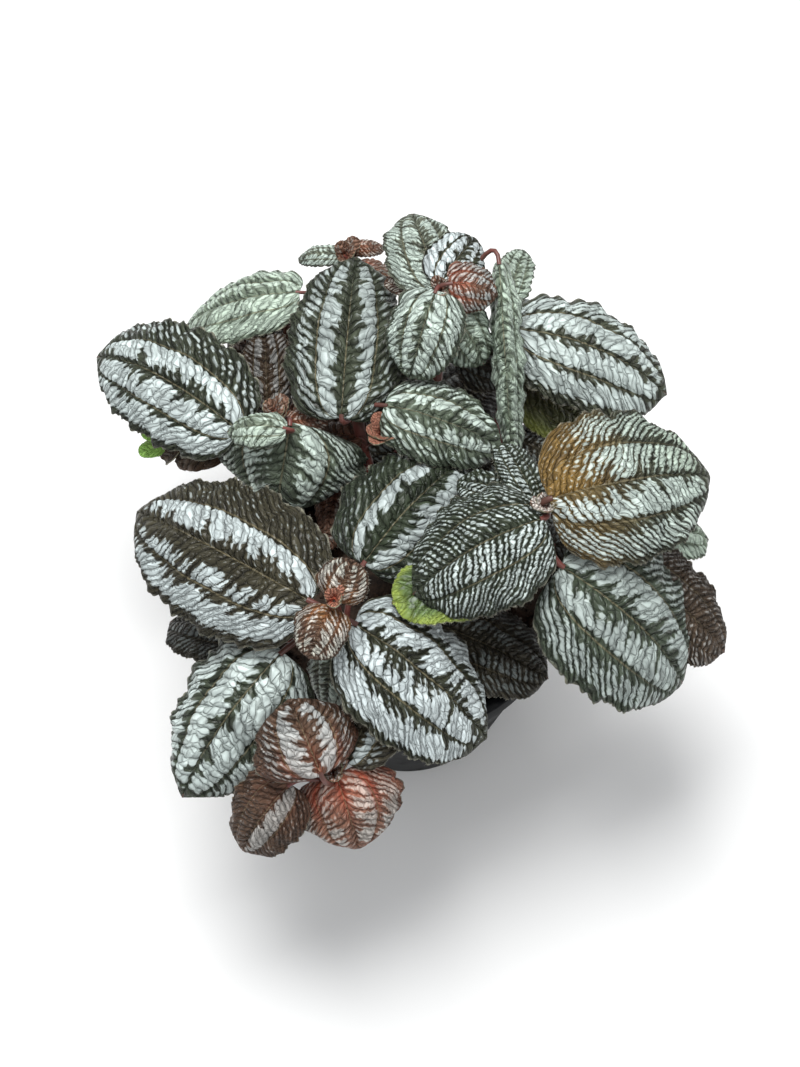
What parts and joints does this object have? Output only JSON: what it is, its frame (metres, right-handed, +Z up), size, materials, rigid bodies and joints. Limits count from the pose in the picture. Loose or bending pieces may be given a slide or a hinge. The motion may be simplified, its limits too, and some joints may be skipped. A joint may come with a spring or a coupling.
{
  "type": "potted friendship plant",
  "caption": "Potted friendship plant: leafy stems with quilted, three-ribbed, silver-banded leaves spreading over a plain round nursery pot filled with soil.",
  "frame": {"origin": "middle of the underside of the pot, on the plane that the pot stands on", "axes": "+Z up out of the pot, +Y towards the side away from the viewer, +X to the viewer's right"},
  "size_m": [0.2571, 0.2531, 0.1837],
  "materials": {
    "pot_plastic": "plain black moulded plastic, slightly glossy",
    "potting_soil": "dark, moist, crumbly peat mix",
    "silver_green_leaf": "quilted, slightly glossy leaf, dark olive with silver bands between the three ribs",
    "bronze_leaf": "quilted young leaf, bronze to red-brown with silver patches",
    "withered_leaf": "dry, brown, papery leaf on a thin stalk, with a small bright green sprout"
  },
  "bodies": {
    "root": {"pot": "pot_plastic", "soil": "potting_soil", "stem_back": "silver_green_leaf", "stem_back_right": "silver_green_leaf", "stem_right": "silver_green_leaf", "stem_center": "silver_green_leaf", "stem_front": "bronze_leaf", "stem_left": "silver_green_leaf", "stem_middle": "silver_green_leaf", "stem_small": "bronze_leaf", "withered_shoot": "withered_leaf"}
  },
  "joints": []
}
